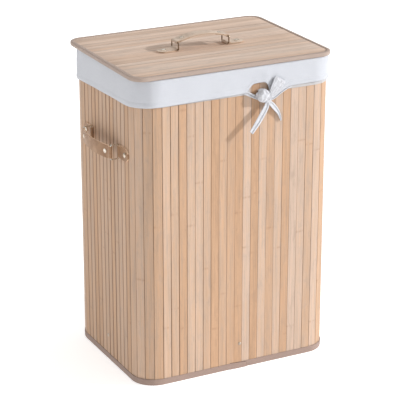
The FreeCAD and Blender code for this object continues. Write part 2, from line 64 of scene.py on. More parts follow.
# A slat's edge rounding, and the width and strength of the painted shade along its edges, on the hamper's
# long sides and on its ends.
LONG_SIDE_EDGE_AND_SHADE = (0.45 * MM, 0.8 * MM, 0.1)
END_EDGE_AND_SHADE = (0.9 * MM, 1.6 * MM, 0.75)
SIDE_COUNTS = {"back": 19, "left": 13, "front": 19, "right": 13}
CORNER_COUNT = 4
WALL_R = 45 * MM
LID_R = 27 * MM
LID_COUNT = 18
TAPE_T = 0.6 * MM
THREAD_T = 0.35 * MM
CLOTH_T = 0.8 * MM
CLOTH_OUT = 2.4 * MM  # the cuff's middle surface, outside the slats
BAG_IN = -11.9 * MM  # the bag's middle surface, inside the slats
RIM_CLOTH_Z = FOLD_HIGH - CLOTH_T / 2 - 0.1 * MM
BOTTOM_Z = BAG_LOW + 0.8 * MM
HEM_H = 9 * MM
# The hem's height at the four corners, by the signs of x and y.
HEM_CORNERS = {(-1, -1): 539.5 * MM, (1, -1): 546 * MM, (-1, 1): 529 * MM, (1, 1): 538 * MM}
# The hem at the bow as (x, height) in millimetres: an arch over the left loop, then down to the knot.
HEM_AT_BOW = [(8, 543), (13, 544.5), (17, 550), (21, 555), (27, 558.3), (36, 559.3), (48, 559), (54, 556),
              (58, 545), (61, 530), (65, 526.5), (75, 533.5), (90, 541.5), (106, 545), (122, 545.6)]
KNOT = Vector((54 * MM, BOW_BACK - 3.6 * MM, 525 * MM))

# The front's slats from left to right, given so that neighbours differ: white, pale, honey, tan or orange.
TONES = {"w": 0.0, "p": 0.25, "h": 0.5, "t": 0.75, "o": 1.0}
FRONT_ORDER = "phopphohtowoptptwwh"

# ---- Colours
# Bamboo from its palest tone to its deepest.
WALL_TONES = [(0.0, (0.59, 0.44, 0.345)), (0.3, (0.58, 0.41, 0.30)), (0.55, (0.565, 0.38, 0.262)),
              (0.8, (0.55, 0.355, 0.232)), (1.0, (0.535, 0.335, 0.21))]
# The lid's tones are paler and greyer than the walls': a painted sheen on its top.
LID_TONES_WITH_PAINTED_SHEEN = [(0.0, (0.73, 0.59, 0.495)), (0.5, (0.72, 0.555, 0.45)), (1.0, (0.66, 0.48, 0.365))]
# A slat's raised joints, and the painted shade along its edges, where the gaps fall into shade.
JOINT_BROWN = (0.26, 0.13, 0.07, 1)
GAP_SHADE_BROWN = (0.20, 0.115, 0.065, 1)
# Light thread, dark thread and pitch.
WOVEN = {
    "binding_tape": ((0.43, 0.315, 0.265), (0.29, 0.21, 0.18), 0.8 * MM),
    "tape_edge": ((0.15, 0.09, 0.06), (0.08, 0.05, 0.035), 0.8 * MM),
    "tape_thread": ((0.39, 0.29, 0.24), (0.27, 0.19, 0.16), 0.3 * MM),
    "lid_tape": ((0.52, 0.41, 0.35), (0.37, 0.285, 0.24), 0.8 * MM),
    "lid_thread": ((0.45, 0.35, 0.3), (0.32, 0.24, 0.2), 0.3 * MM),
    "liner_cotton": ((0.67, 0.685, 0.73), (0.54, 0.555, 0.6), 0.7 * MM),
    "white_thread": ((0.72, 0.73, 0.77), (0.58, 0.59, 0.63), 0.3 * MM),
    "ribbon_cotton": ((0.69, 0.695, 0.73), (0.53, 0.535, 0.57), 0.6 * MM),
    "clip_webbing": ((0.30, 0.22, 0.17), (0.17, 0.12, 0.09), 1.4 * MM),
    "drawstring_cotton": ((0.62, 0.6, 0.6), (0.48, 0.46, 0.46), 0.6 * MM),
}
# Dark, middle and light hide, and the cut sides; the side leather's light cut sides are partly their own
# colour and partly a painted highlight.
LEATHERS = {
    "side_leather": ((0.27, 0.147, 0.076), (0.335, 0.19, 0.103), (0.405, 0.245, 0.145), (0.85, 0.62, 0.44)),
    # The lid's leather is a lighter copy of the side handles' leather: painted light for the lit lid.
    "lid_leather_painted_lighter": ((0.54, 0.42, 0.33), (0.62, 0.49, 0.39), (0.69, 0.56, 0.455), (0.50, 0.36, 0.26)),
}
# Bright metal, darker metal that is partly dulled and partly a painted dark reflection, roughness, and how
# finely it is brushed along each axis.
METALS = {
    "side_ring_metal": ((0.90, 0.87, 0.80), (0.45, 0.41, 0.35), 0.22, (900, 900, 60)),
    # The lid's rings are dark brown all over: a painted dark reflection.
    "lid_ring_metal_painted_dark": ((0.45, 0.34, 0.24), (0.12, 0.08, 0.05), 0.24, (900, 900, 60)),
    "plated_rivets": ((0.88, 0.82, 0.74), (0.55, 0.47, 0.38), 0.26, (500, 500, 500)),
    "steel_wire": ((0.55, 0.55, 0.56), (0.33, 0.33, 0.34), 0.36, (700, 700, 700)),
    "dull_rivets": ((0.58, 0.50, 0.42), (0.38, 0.31, 0.25), 0.42, (500, 500, 500)),
}
# The sky by height: pale at the horizon, then a darker band for the metal to mirror, and pale above.
SKY = [(0.0, (1.0, 0.99, 0.98)), (0.2, (0.9, 0.89, 0.88)), (0.34, (0.3, 0.295, 0.29)),
       (0.44, (0.3, 0.295, 0.29)), (0.6, (1.0, 0.985, 0.97)), (1.0, (1.2, 1.185, 1.17))]


# ======== Camera, light and floor

def point_at(thing, place, target):
    thing.location = place
    thing.rotation_euler = (Vector(target) - Vector(place)).to_track_quat("-Z", "Y").to_euler()


def linked(name, data):
    """A new object in the scene."""
    made = bpy.data.objects.new(name, data)
    bpy.context.scene.collection.objects.link(made)
    return made


def as_mesh(name, bm):
    """A new mesh from a bmesh, which is freed."""
    mesh = bpy.data.meshes.new(name)
    bm.to_mesh(mesh)
    bm.free()
    return mesh


def camera():
    data = bpy.data.cameras.new("camera")
    data.lens, data.sensor_width = 158.5, 36.0
    made = linked("camera", data)
    point_at(made, (-1.4385, -2.8071, 1.4615), (-0.00376, 0, 0.2912))
    bpy.context.scene.camera = made


def lamp(name, kind, power, place, target, **settings):
    data = bpy.data.lights.new(name, kind)
    data.energy = power
    for key, value in settings.items():
        setattr(data, key, value)
    point_at(linked(name, data), place, target)


def studio():
    scene = bpy.context.scene
    scene.view_settings.view_transform = "Standard"
    scene.world = bpy.data.worlds.new("studio")
    scene.world.use_nodes = True
    tree = scene.world.node_tree
    sky = tree.nodes["Background"]
    height = add(tree, "SeparateXYZ", None, Vector=coordinates(tree, "Generated")).outputs["Z"]
    tree.links.new(ramp(tree, height, SKY), sky.inputs["Color"])
    sky.inputs["Strength"].default_value = 0.74
    lamp("key", "SUN", 2.9, (3.5, -1.9, 1.8), (0, 0, 0.3), angle=math.radians(3),
         color=(0.98, 0.99, 1.0))
    lamp("side_fill", "AREA", 4.3, (-2.2, 1.6, 1.3), (-0.2, 0, 0.3), size=1.6)
    bm = bmesh.new()
    bmesh.ops.create_grid(bm, x_segments=8, y_segments=8, size=15)
    floor = linked("floor", as_mesh("floor", bm))
    floor.data.materials.append(floor_finish())


# ======== Node helpers

WAVE_PITCH = math.pi / 10


def add(tree, kind, settings=None, **inputs):
    """A shader node; an input's value is a socket to link from, or a plain value."""
    node = tree.nodes.new("ShaderNode" + kind)
    for name, value in (settings or {}).items():
        setattr(node, name, value)
    for name, value in inputs.items():
        socket = node.inputs[int(name[1:])] if name[0] == "_" else node.inputs[name.replace("_", " ")]
        if isinstance(value, bpy.types.NodeSocket):
            tree.links.new(value, socket)
        else:
            socket.default_value = value
    return node


def sums(tree, operation, a, b, clamp=False):
    """Arithmetic on two values, each a socket or a number."""
    return add(tree, "Math", {"operation": operation, "use_clamp": clamp}, _0=a, _1=b).outputs[0]


def mix(tree, factor, a, b, blend="MIX"):
    """Two colours mixed; each is a socket or an RGBA value."""
    return add(tree, "Mix", {"data_type": "RGBA", "blend_type": blend}, _0=factor, _6=a, _7=b).outputs[2]


def ramp(tree, value, stops):
    """A colour ramp through (place, colour) stops, where a colour is RGB or one grey."""
    node = add(tree, "ValToRGB", None, Fac=value)
    elements = node.color_ramp.elements
    while len(elements) < len(stops):
        elements.new(0.5)
    for element, (place, colour) in zip(elements, stops):
        element.position = place
        element.color = (*colour, 1) if isinstance(colour, tuple) else (colour, colour, colour, 1)
    return node.outputs["Color"]


def shaded(tree, colour, value, stops, amount=1.0):
    """A colour darkened or lightened by a value, through a ramp."""
    return mix(tree, amount, colour, ramp(tree, value, stops), "MULTIPLY")


def attribute(tree, name):
    return add(tree, "Attribute", {"attribute_name": name}).outputs["Fac"]


def coordinates(tree, output="Object"):
    return add(tree, "TexCoord").outputs[output]


def scaled(tree, vector, scale):
    return add(tree, "Mapping", None, Vector=vector, Scale=scale).outputs["Vector"]


def grain(tree, vector, scale, detail=3.0, rough=0.55, warp=0.0):
    return add(tree, "TexNoise", None, Vector=vector, Scale=scale, Detail=detail, Roughness=rough,
               Distortion=warp).outputs["Fac"]


def threads(tree, vector, period, direction):
    """A row of parallel threads of that pitch in metres; at scale 1 the wave's own pitch is WAVE_PITCH."""
    settings = {"wave_type": "BANDS", "bands_direction": direction, "wave_profile": "SIN"}
    return add(tree, "TexWave", settings, Vector=vector, Scale=WAVE_PITCH / period, Distortion=0.6,
               Detail=1.0).outputs["Fac"]


def finish(name, roughness, metallic=0.0, specular=0.5, sheen=0.0):
    """A new material, with its node tree and its shader."""
    material = bpy.data.materials.new(name)
    material.use_nodes = True
    shader = material.node_tree.nodes["Principled BSDF"]
    for socket, value in (("Roughness", roughness), ("Metallic", metallic),
                          ("Specular IOR Level", specular), ("Sheen Weight", sheen)):
        shader.inputs[socket].default_value = value
    return material, material.node_tree, shader


def paint(tree, shader, colour, height=None, depth=0.0, roughness=None):
    """Connects a finish's colour, its relief in metres and its roughness."""
    tree.links.new(colour, shader.inputs["Base Color"])
    if height is not None:
        bump = add(tree, "Bump", None, Height=height, Distance=depth, Strength=1.0)
        tree.links.new(bump.outputs["Normal"], shader.inputs["Normal"])
    if roughness is not None:
        tree.links.new(roughness, shader.inputs["Roughness"])


# ======== Finishes

def bamboo_finish(name, along, tones, broad=0.9):
    """Split bamboo: fibres along one axis, a tone for each slat, stains, painted shade along the edges,
    faint joints.
    """
    material, tree, shader = finish(name, 0.6, specular=0.22)
    shift = add(tree, "CombineXYZ", None, X=attribute(tree, "shift"), Y=attribute(tree, "shift"),
                Z=attribute(tree, "shift")).outputs[0]
    place = add(tree, "VectorMath", {"operation": "ADD"}, _0=coordinates(tree), _1=shift).outputs[0]

    def stretched(across, length):
        return scaled(tree, place, [1 / length if axis == along else 1 / across for axis in "XYZ"])

    fibre = grain(tree, stretched(1.1 * MM, 80 * MM), 1.0, 4.0, 0.6)
    streak = grain(tree, stretched(4.5 * MM, 160 * MM), 1.0, 3.0, 0.55, 0.4)
    cloud = grain(tree, stretched(16 * MM, 300 * MM), 1.0, 2.0)
    stain = grain(tree, stretched(9 * MM, 34 * MM), 1.0, 3.0, 0.6, 0.8)
    fleck = grain(tree, stretched(0.5 * MM, 7 * MM), 1.0, 2.0, 0.6)
    drift = sums(tree, "ADD", sums(tree, "SUBTRACT", stain, 0.5), sums(tree, "SUBTRACT", streak, 0.5))
    tone = sums(tree, "ADD", attribute(tree, "tone"), sums(tree, "MULTIPLY", drift, 0.9))
    colour = ramp(tree, tone, tones)
    colour = shaded(tree, colour, streak, [(0.3, 0.88), (0.5, 1.0), (0.7, 1.05)])
    colour = shaded(tree, colour, stain, [(0.28, 0.88), (0.5, 1.0), (0.75, 1.04)])
    colour = shaded(tree, colour, cloud, [(0.3, broad), (0.6, 1.0)])
    colour = shaded(tree, colour, fibre, [(0.3, 0.87), (0.55, 1.0), (0.8, 1.05)])
    colour = shaded(tree, colour, fleck, [(0.27, 0.62), (0.36, 1.0)], 0.6)
    patchy = ramp(tree, streak, [(0.42, 0.0), (0.58, 1.0)])
    joint = sums(tree, "MULTIPLY", attribute(tree, "joint"), patchy, True)
    colour = mix(tree, sums(tree, "MULTIPLY", joint, 0.3), colour, JOINT_BROWN)
    # Painted shade: the slats darken along their edges, where the gaps between them fall into shade.
    edge = sums(tree, "MULTIPLY", attribute(tree, "edge"), sums(tree, "ADD", fibre, 0.5), True)
    colour = mix(tree, edge, colour, GAP_SHADE_BROWN)
    height = sums(tree, "ADD", sums(tree, "MULTIPLY", fibre, 0.7), sums(tree, "MULTIPLY", fleck, 0.3))
    rough = add(tree, "MapRange", None, Value=fibre, To_Min=0.72, To_Max=0.55).outputs[0]
    paint(tree, shader, colour, height, 0.12 * MM, rough)
    return material


def woven_finish(name, wear=0.15, vector="UV", sheen=0.15, ribs=False):
    """Plain weave, or ribs across a tape, with uneven threads and faint cloudy shading."""
    light, dark, pitch = WOVEN[name]
    material, tree, shader = finish(name, 0.85, specular=0.25, sheen=sheen)
    place = coordinates(tree, vector)
    warp = threads(tree, place, pitch, "X")
    weft = threads(tree, place, pitch * (2.5 if ribs else 1), "Y" if vector == "UV" else "Z")
    weave = warp
    if not ribs:
        weave = sums(tree, "MULTIPLY", sums(tree, "ADD", warp, 0.3), sums(tree, "ADD", weft, 0.3))
    slub = grain(tree, scaled(tree, place, (60, 900, 900)), 1.0, 3.0)
    cloud = grain(tree, coordinates(tree), 22.0, 4.0, 0.6)
    colour = mix(tree, ramp(tree, weave, [(0.1, 0.0), (0.8, 1.0)]), (*dark, 1), (*light, 1))
    colour = shaded(tree, colour, cloud, [(0.3, 0.72), (0.7, 1.0)], wear)
    colour = shaded(tree, colour, slub, [(0.3, 0.8), (0.6, 1.0)], wear)
    height = sums(tree, "ADD", weave, sums(tree, "MULTIPLY", slub, 0.4))
    paint(tree, shader, colour, height, 0.18 * pitch)
    return material


def leather_finish(name):
    """Smooth hide with a fine pebble, creases and cut sides of their own colour, which on the side handles
    is also a painted highlight.
    """
    dark, middle, light, raw = LEATHERS[name]
    material, tree, shader = finish(name, 0.5, specular=0.3)
    place = coordinates(tree)
    pebble = add(tree, "TexVoronoi", {"feature": "SMOOTH_F1"}, Vector=place, Scale=900.0,
                 Smoothness=0.7).outputs[0]
    crease = grain(tree, place, 260.0, 5.0, 0.65, 0.8)
    cloud = grain(tree, place, 45.0, 3.0)
    colour = ramp(tree, cloud, [(0.3, dark), (0.5, middle), (0.7, light)])
    colour = shaded(tree, colour, crease, [(0.32, 0.7), (0.5, 1.0)], 0.5)
    # Cut sides in their own colour; on the side leather this light colour is also a painted highlight.
    colour = mix(tree, attribute(tree, "edge"), colour, (*raw, 1))
    height = sums(tree, "ADD", sums(tree, "MULTIPLY", pebble, 0.5), crease)
    rough = add(tree, "MapRange", None, Value=crease, To_Min=0.6, To_Max=0.36).outputs[0]
    paint(tree, shader, colour, height, 0.1 * MM, rough)
    return material


def metal_finish(name):
    """Plated metal with faint drawing lines, and cloudy dulling that also stands in for painted dark
    reflections.
    """
    bright, dull_and_dark_reflection, roughness, brushed = METALS[name]
    material, tree, shader = finish(name, roughness, metallic=1.0)
    place = coordinates(tree)
    lines = grain(tree, scaled(tree, place, brushed), 1.0, 3.0)
    cloud = grain(tree, place, 120.0, 4.0, 0.6)
    colour = mix(tree, ramp(tree, cloud, [(0.35, 0.0), (0.7, 1.0)]), (*dull_and_dark_reflection, 1), (*bright, 1))
    rough = add(tree, "MapRange", None, Value=sums(tree, "ADD", lines, cloud), From_Max=2.0,
                To_Min=roughness + 0.14, To_Max=roughness - 0.1).outputs[0]
    paint(tree, shader, colour, lines, 0.03 * MM, rough)
    return material


def felt_finish(name, light, dark):
    """Non-woven cloth: short tangled fibres and pressed dimples."""
    material, tree, shader = finish(name, 0.9, specular=0.2, sheen=0.2)
    place = coordinates(tree)
    fibre = grain(tree, place, 1400.0, 4.0, 0.7, 1.2)
    dimple = add(tree, "TexVoronoi", None, Vector=place, Scale=420.0).outputs["Distance"]
    colour = mix(tree, ramp(tree, fibre, [(0.3, 0.0), (0.65, 1.0)]), (*dark, 1), (*light, 1))
    colour = shaded(tree, colour, dimple, [(0.1, 0.75), (0.4, 1.0)], 0.5)
    paint(tree, shader, colour, sums(tree, "ADD", fibre, dimple), 0.12 * MM)
    return material


def board_finish():
    """Pressed wood fibre: speckles of light and dark chips."""
    material, tree, shader = finish("fibreboard", 0.7, specular=0.3)
    place = coordinates(tree)
    long_place = scaled(tree, place, (300, 420, 420))
    chips = add(tree, "TexVoronoi", None, Vector=long_place, Scale=1.0).outputs["Color"]
    tone = add(tree, "SeparateColor", None, Color=chips).outputs[0]
    dust = grain(tree, place, 900.0, 3.0)
    colour = ramp(tree, tone, [(0.0, (0.19, 0.11, 0.06)), (0.5, (0.30, 0.19, 0.11)),
                               (1.0, (0.42, 0.29, 0.18))])
    colour = shaded(tree, colour, dust, [(0.3, 0.6), (0.6, 1.0)], 0.4)
    paint(tree, shader, colour, dust, 0.06 * MM)
    return material


def floor_finish():
    """Matt white paint that glows a little, so that the floor stays white under the hamper."""
    material, tree, shader = finish("floor_paint", 0.9, specular=0.0)
    cloud = grain(tree, coordinates(tree), 0.6, 2.0)
    paint(tree, shader, ramp(tree, cloud, [(0.3, 0.93), (0.7, 0.95)]))
    shader.inputs["Emission Color"].default_value = (1, 1, 1, 1)
    shader.inputs["Emission Strength"].default_value = 0.46
    return material


# ======== Shapes

class Outline:
    """A rounded rectangle seen from above, measured anticlockwise from the back's right end."""

    def __init__(self, low, high, radius):
        self.x, self.y, self.radius = (low.x + high.x) / 2, (low.y + high.y) / 2, radius
        self.half_x, self.half_y = (high.x - low.x) / 2, (high.y - low.y) / 2
        self.core_x, self.core_y = self.half_x - radius, self.half_y - radius
        self.arc = radius * math.pi / 2
        self.straights = (2 * self.core_x, 2 * self.core_y) * 2
        self.length = sum(self.straights) + 4 * self.arc

    def corner(self, turn):
        """The centre of the corner that ends a straight side, and that side's outward and forward ways."""
        sx, sy = ((-1, 1), (-1, -1), (1, -1), (1, 1))[turn]
        angle = math.radians(90 + 90 * turn)
        centre = Vector((self.x + sx * self.core_x, self.y + sy * self.core_y, 0))
        out = Vector((math.cos(angle), math.sin(angle), 0))
        return centre, out, Vector((-out.y, out.x, 0))

    def core(self, co):
        """The nearest centre of the outline's rounding: a point on the inner rectangle."""
        return Vector((self.x + max(-self.core_x, min(self.core_x, co.x - self.x)),
                       self.y + max(-self.core_y, min(self.core_y, co.y - self.y)), 0))

    def outward(self, co):
        """The outward direction at a point."""
        core = self.core(co)
        return Vector((co.x - core.x, co.y - core.y, 0)).normalized()

    def beside(self, co, out, z):
        """The point at height z, that far outside the outline, beside co."""
        place = self.core(co) + self.outward(co) * (self.radius + out)
        place.z = z
        return place

    def at(self, distance):
        """The point on the outline that far along it."""
        left = distance % self.length
        for turn, straight in enumerate(self.straights):
            centre, out, forward = self.corner(turn)
            if left < straight:
                return centre + out * self.radius - forward * (straight - left)
            left -= straight
            if left < self.arc:
                return centre + Matrix.Rotation(left / self.radius, 3, "Z") @ out * self.radius
            left -= self.arc
        return centre + forward * self.radius

    def distance(self, co):
        """How far along the outline a point lies."""
        core, out = self.core(co), self.outward(co)
        turned = (math.degrees(math.atan2(out.y, out.x)) - 90 + 1e-4) % 360
        turn = int(turned // 90)
        centre, _, forward = self.corner(turn)
        before = sum(self.straights[:turn]) + turn * self.arc
        rest = math.radians(max(0.0, turned - 90 * turn - 1e-4))
        return before + self.straights[turn] - (centre - core).dot(forward) + rest * self.radius


WALL = Outline(WALL_LOW, WALL_HIGH, WALL_R)
LID = Outline(LID_LOW, LID_HIGH, LID_R)


def rounded(bm, geom, offset, segments, affect="EDGES", material=-1, clamp=False):
    """Rounds off edges or corners."""
    bmesh.ops.bevel(bm, geom=geom, offset=offset, segments=segments, profile=0.5, affect=affect,
                    material=material, clamp_overlap=clamp)


def rounded_sheet(bm, outline, corner_steps):
    """One flat face with the outline's shape, at height 0."""
    corners = bmesh.ops.create_grid(bm, x_segments=1, y_segments=1, size=1)["verts"]
    bmesh.ops.scale(bm, vec=(outline.half_x, outline.half_y, 1), verts=corners)
    rounded(bm, corners, outline.radius, corner_steps, "VERTICES")
    bmesh.ops.translate(bm, vec=(outline.x, outline.y, 0), verts=bm.verts)


def outline_ring(bm, outline, spacing, corner_steps):
    """A closed ring of edges on the outline, at height 0."""
    rounded_sheet(bm, outline, corner_steps)
    bmesh.ops.delete(bm, geom=bm.faces[:], context="FACES_ONLY")
    for edge in [e for e in bm.edges if e.calc_length() > 3 * spacing]:
        bmesh.ops.subdivide_edges(bm, edges=[edge], cuts=int(edge.calc_length() / spacing))
    return bm.edges[:]


def extruded(bm, edges):
    """Extrudes edges on the spot; returns the fresh vertices and edges."""
    made = bmesh.ops.extrude_edge_only(bm, edges=edges)["geom"]
    fresh = {g for g in made if isinstance(g, bmesh.types.BMVert)}
    return fresh, [g for g in made if isinstance(g, bmesh.types.BMEdge) and fresh.issuperset(g.verts)]


def sweep(bm, ring, places, travel):
    """Extrudes a ring of edges through the given places, each a function of a point on the ring."""
    starts = {v: v.co.copy() for e in ring for v in e.verts}
    for v, co in starts.items():
        v.co = places[0](co)
    gone = 0.0
    for place in places[1:]:
        order = {v: starts[v] for e in ring for v in e.verts}
        fresh, ring = extruded(bm, ring)
        steps = []
        for v in fresh:
            old = next(e.other_vert(v) for e in v.link_edges if e.other_vert(v) in order)
            starts[v] = order[old]
            v.co = place(starts[v])
            steps.append((v.co - old.co).length)
        gone += sum(steps) / len(steps)
        for v in fresh:
            v[travel] = gone
    return ring


def lay_uv(bm, outline, travel):
    """UVs in metres, round the outline and along the profile."""
    uv = bm.loops.layers.uv.new("weave")
    for face in bm.faces:
        rounds = [outline.distance(loop.vert.co) for loop in face.loops]
        seam = max(rounds) - min(rounds) > outline.length / 2
        for loop, distance in zip(face.loops, rounds):
            if seam and distance < outline.length / 2:
                distance += outline.length
            loop[uv].uv = (distance, loop.vert[travel])


def add_piece(name, bm, material, body, replaces=(), sharp=35, thick=None):
    """Makes the bmesh a shown piece on a body, smooth except at sharp edges."""
    mesh = as_mesh(name, bm)
    mesh.materials.append(material)
    mesh.shade_smooth()
    mesh.set_sharp_from_angle(angle=math.radians(sharp))
    piece = linked(name, mesh)
    if thick:
        shell = piece.modifiers.new("thickness", "SOLIDIFY")
        shell.thickness, shell.offset, shell.use_even_offset = thick, 0.0, True
    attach(piece, body)
    if replaces:
        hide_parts(*replaces)
    return piece


def put_all(bm, make, places):
    """Adds a copy of one small shape at each of the given matrices."""
    single = bmesh.new()
    make(single)
    mesh = as_mesh("one", single)
    for place in places:
        before = len(bm.verts)
        bm.from_mesh(mesh)
        bm.verts.ensure_lookup_table()
        bmesh.ops.transform(bm, matrix=place, verts=bm.verts[before:])
    bpy.data.meshes.remove(mesh)


def between(stops, value):
    """The height on a line through (place, height) stops."""
    for (a, low), (b, high) in zip(stops, stops[1:]):
        if value <= b:
            return low + (high - low) * max(0.0, value - a) / (b - a)
    return stops[-1][1]


def axes(origin, x, y, z):
    """The matrix with those three directions at a place."""
    made = Matrix((x, y, z)).transposed().to_4x4()
    made.translation = origin
    return made


def block(bm, low, high):
    """Adds a box between two corners."""
    verts = bmesh.ops.create_cube(bm, size=1.0)["verts"]
    bmesh.ops.scale(bm, vec=high - low, verts=verts)
    bmesh.ops.translate(bm, vec=(low + high) / 2, verts=verts)


def cut(bm, axis, places):
    """Cuts the whole bmesh across an axis at each place."""
    across = Vector([float(a == axis) for a in "XYZ"])
    for place in places:
        bmesh.ops.bisect_plane(bm, geom=bm.verts[:] + bm.edges[:] + bm.faces[:], plane_co=across * place,
                               plane_no=across)


# ======== Slats

def slat_layers(bm):
    """The values on a slat's vertices that its finish reads: tone, shift, joint and edge, the last a
    painted shade.
    """
    return [bm.verts.layers.float.new(name) for name in ("tone", "shift", "joint", "edge")]


def slat(width, low, high, joints, edge, rng):
    """One wall slat: inner face at y 0, outer face towards +y, with painted shade along its edges and
    raised joints.
    """
    rounding, reach, gap_shade = edge
    bm = bmesh.new()
    tone, shift, joint, dark = slat_layers(bm)
    block(bm, Vector((-width / 2, 0, low)), Vector((width / 2, SLAT_T, high)))
    edges = [e for e in bm.edges if abs(e.verts[0].co.z - e.verts[1].co.z) > 0.1]
    rounded(bm, edges, rounding, 2)
    cuts = [low + (high - low) * k / 8 for k in range(1, 8)]
    cuts += [z + step * MM for z in joints for step in (-4, -1.6, 0, 1.6, 4)]
    cut(bm, "Z", cuts)
    plain = width / 2 - reach
    cut(bm, "X", (-plain, plain))
    seed, bend = rng.uniform(0, 50), rng.uniform(0.1, 0.4) * MM
    for v in bm.verts:
        ridge = max([math.exp(-((v.co.z - z) / (1.6 * MM)) ** 2) for z in joints] or [0])
        # The edge value is painted shade beside the gaps.
        v[joint], v[dark] = ridge, gap_shade if abs(v.co.x) > plain + MM / 10 else 0.0
        v.co.x += bend * noise.noise((seed, 0, v.co.z * 5))
        if v.co.y > SLAT_T / 2:
            v.co.y += 0.15 * MM * ridge + 0.12 * MM * noise.noise((seed, 9, v.co.z * 6))
    return bm, tone, shift


def slat_places():
    """Every wall slat as (group, middle of its inner face, outward direction, width)."""
    inset = Vector((SLAT_T, SLAT_T, 0))
    inner = Outline(WALL_LOW + inset, WALL_HIGH - inset, WALL_R - SLAT_T)
    sides = list(SIDE_COUNTS)
    for turn, side in enumerate(sides):
        centre, out, forward = inner.corner(turn)
        count = SIDE_COUNTS[side]
        width = inner.straights[turn] / count
        for k in range(count):
            middle = centre + out * inner.radius - forward * (inner.straights[turn] - (k + 0.5) * width)
            yield side, middle, out, width
        ends = sorted((side, sides[(turn + 1) % 4]), key=lambda s: s in ("left", "right"))
        step = math.radians(90 / CORNER_COUNT)
        for k in range(CORNER_COUNT):
            away = Matrix.Rotation((k + 0.5) * step, 3, "Z") @ out
            middle = centre + away * inner.radius * math.cos(step / 2)
            yield "_".join(ends) + "_corner", middle, away, 2 * inner.radius * math.sin(step / 2)


def wall_slats(material):
    """The wall's slats, one piece for each side and each corner."""
    rng = random.Random(5)
    groups = {}
    for group, middle, out, width in slat_places():
        groups.setdefault(group, []).append((middle, out, width))
    for group, places in groups.items():
        whole = bmesh.new()
        for k, (middle, out, width) in enumerate(places):
            joints = [z for z in (rng.uniform(0.04, 0.32), rng.uniform(0.3, 0.56)) if rng.random() < 0.6]
            gap = SLAT_GAP * (0.3 if "corner" in group else rng.choice((0.3, 0.5, 0.8, 1.2, 2.2)))
            edge = END_EDGE_AND_SHADE if abs(out.x) > 0.99 else LONG_SIDE_EDGE_AND_SHADE
            bm, tone, shift = slat(width - gap, SLAT_LOW, SLAT_HIGH, joints, edge, rng)
            shade = TONES[FRONT_ORDER[k]] if group == "front" else rng.uniform(0.1, 0.75)
            shade += rng.uniform(-0.1, 0.1)
            start = rng.uniform(0, 9)
            for v in bm.verts:
                v[tone], v[shift] = shade, start
            upright = axes(middle, Vector((out.y, -out.x, 0)), out, Vector((0, 0, 1)))
            bmesh.ops.transform(bm, matrix=upright, verts=bm.verts)
            mesh = as_mesh("slat", bm)
            whole.from_mesh(mesh)
            bpy.data.meshes.remove(mesh)
        add_piece(f"{group}_bamboo", whole, material, "hamper", [f"{group}_slats"], sharp=50)


def lid_slats(material):
    """The lid's slats, cut from one rounded sheet."""
    rng = random.Random(23)
    inset = Vector((TAPE_T, TAPE_T, 0))
    sheet = Outline(LID_LOW + inset, LID_HIGH - inset, LID_R - TAPE_T)
    bm = bmesh.new()
    tone, shift, _, dark = slat_layers(bm)
    rounded_sheet(bm, sheet, 10)
    bmesh.ops.translate(bm, vec=(0, 0, LID_SLAT_LOW), verts=bm.verts)
    front, pitch = sheet.y - sheet.half_y, 2 * sheet.half_y / LID_COUNT
    gaps = [(front + k * pitch, SLAT_GAP * rng.choice((0.5, 0.6, 0.9, 1.6)) / 2)
            for k in range(1, LID_COUNT)]
    cut(bm, "Y", [y + reach for y, half in gaps for reach in (-half, half, -half - MM, half + MM)])
    spare = [f for f in bm.faces if any(abs(f.calc_center_median().y - y) < half for y, half in gaps)]
    bmesh.ops.delete(bm, geom=spare, context="FACES")
    cut(bm, "X", [sheet.x + sheet.half_x * (k / 5 - 1) for k in range(1, 10)])
    made = bmesh.ops.extrude_face_region(bm, geom=bm.faces[:], use_keep_orig=True)["geom"]
    top = [g for g in made if isinstance(g, bmesh.types.BMVert)]
    bmesh.ops.translate(bm, vec=(0, 0, LID_SLAT_HIGH - LID_SLAT_LOW), verts=top)
    bmesh.ops.recalc_face_normals(bm, faces=bm.faces)
    rim = [e for e in bm.edges if all(v.co.z > LID_SLAT_HIGH - MM / 10 for v in e.verts)
           and len(e.link_faces) == 2 and e.calc_face_angle() > 1]
    rounded(bm, rim, 0.35 * MM, 2)
    shades = [(rng.uniform(0, 1), rng.uniform(0, 9), rng.uniform(-0.2, 0.1) * MM)
              for _ in range(LID_COUNT)]
    for v in bm.verts:
        shade, start, lift = shades[max(0, min(LID_COUNT - 1, int((v.co.y - front) / pitch)))]
        v[tone], v[shift] = shade, start
        # Painted shade: the lid's slats darken beside the wider gaps between them.
        away, half = min((abs(v.co.y - y) - half, half) for y, half in gaps)
        v[dark] = 0.9 * half / MM if away < 0.9 * MM else 0.0
        if v.co.z > LID_SLAT_HIGH - MM / 2:
            v.co.z += min(0.0, lift)
    add_piece("lid_bamboo_slats", bm, material, "lid", ["lid_slats"], sharp=50)


# ======== Tapes

def band(name, outline, rows, material, body, node):
    """A tape folded over an edge, swept round an outline through (out, z) rows."""
    bm = bmesh.new()
    travel = bm.verts.layers.float.new("travel")
    ring = outline_ring(bm, outline, 9 * MM, 14)

    def row(out, z, slack):
        def place(co):
            wave = noise.noise(Vector((co.x * 30, co.y * 30, z * 90)))
            return outline.beside(co, out + slack * wave, z + slack * wave)
        return place

    sweep(bm, ring, [row(*r) for r in rows], travel)
    lay_uv(bm, outline, travel)
    bmesh.ops.recalc_face_normals(bm, faces=bm.faces)
    add_piece(name, bm, material, body, [node], thick=TAPE_T)


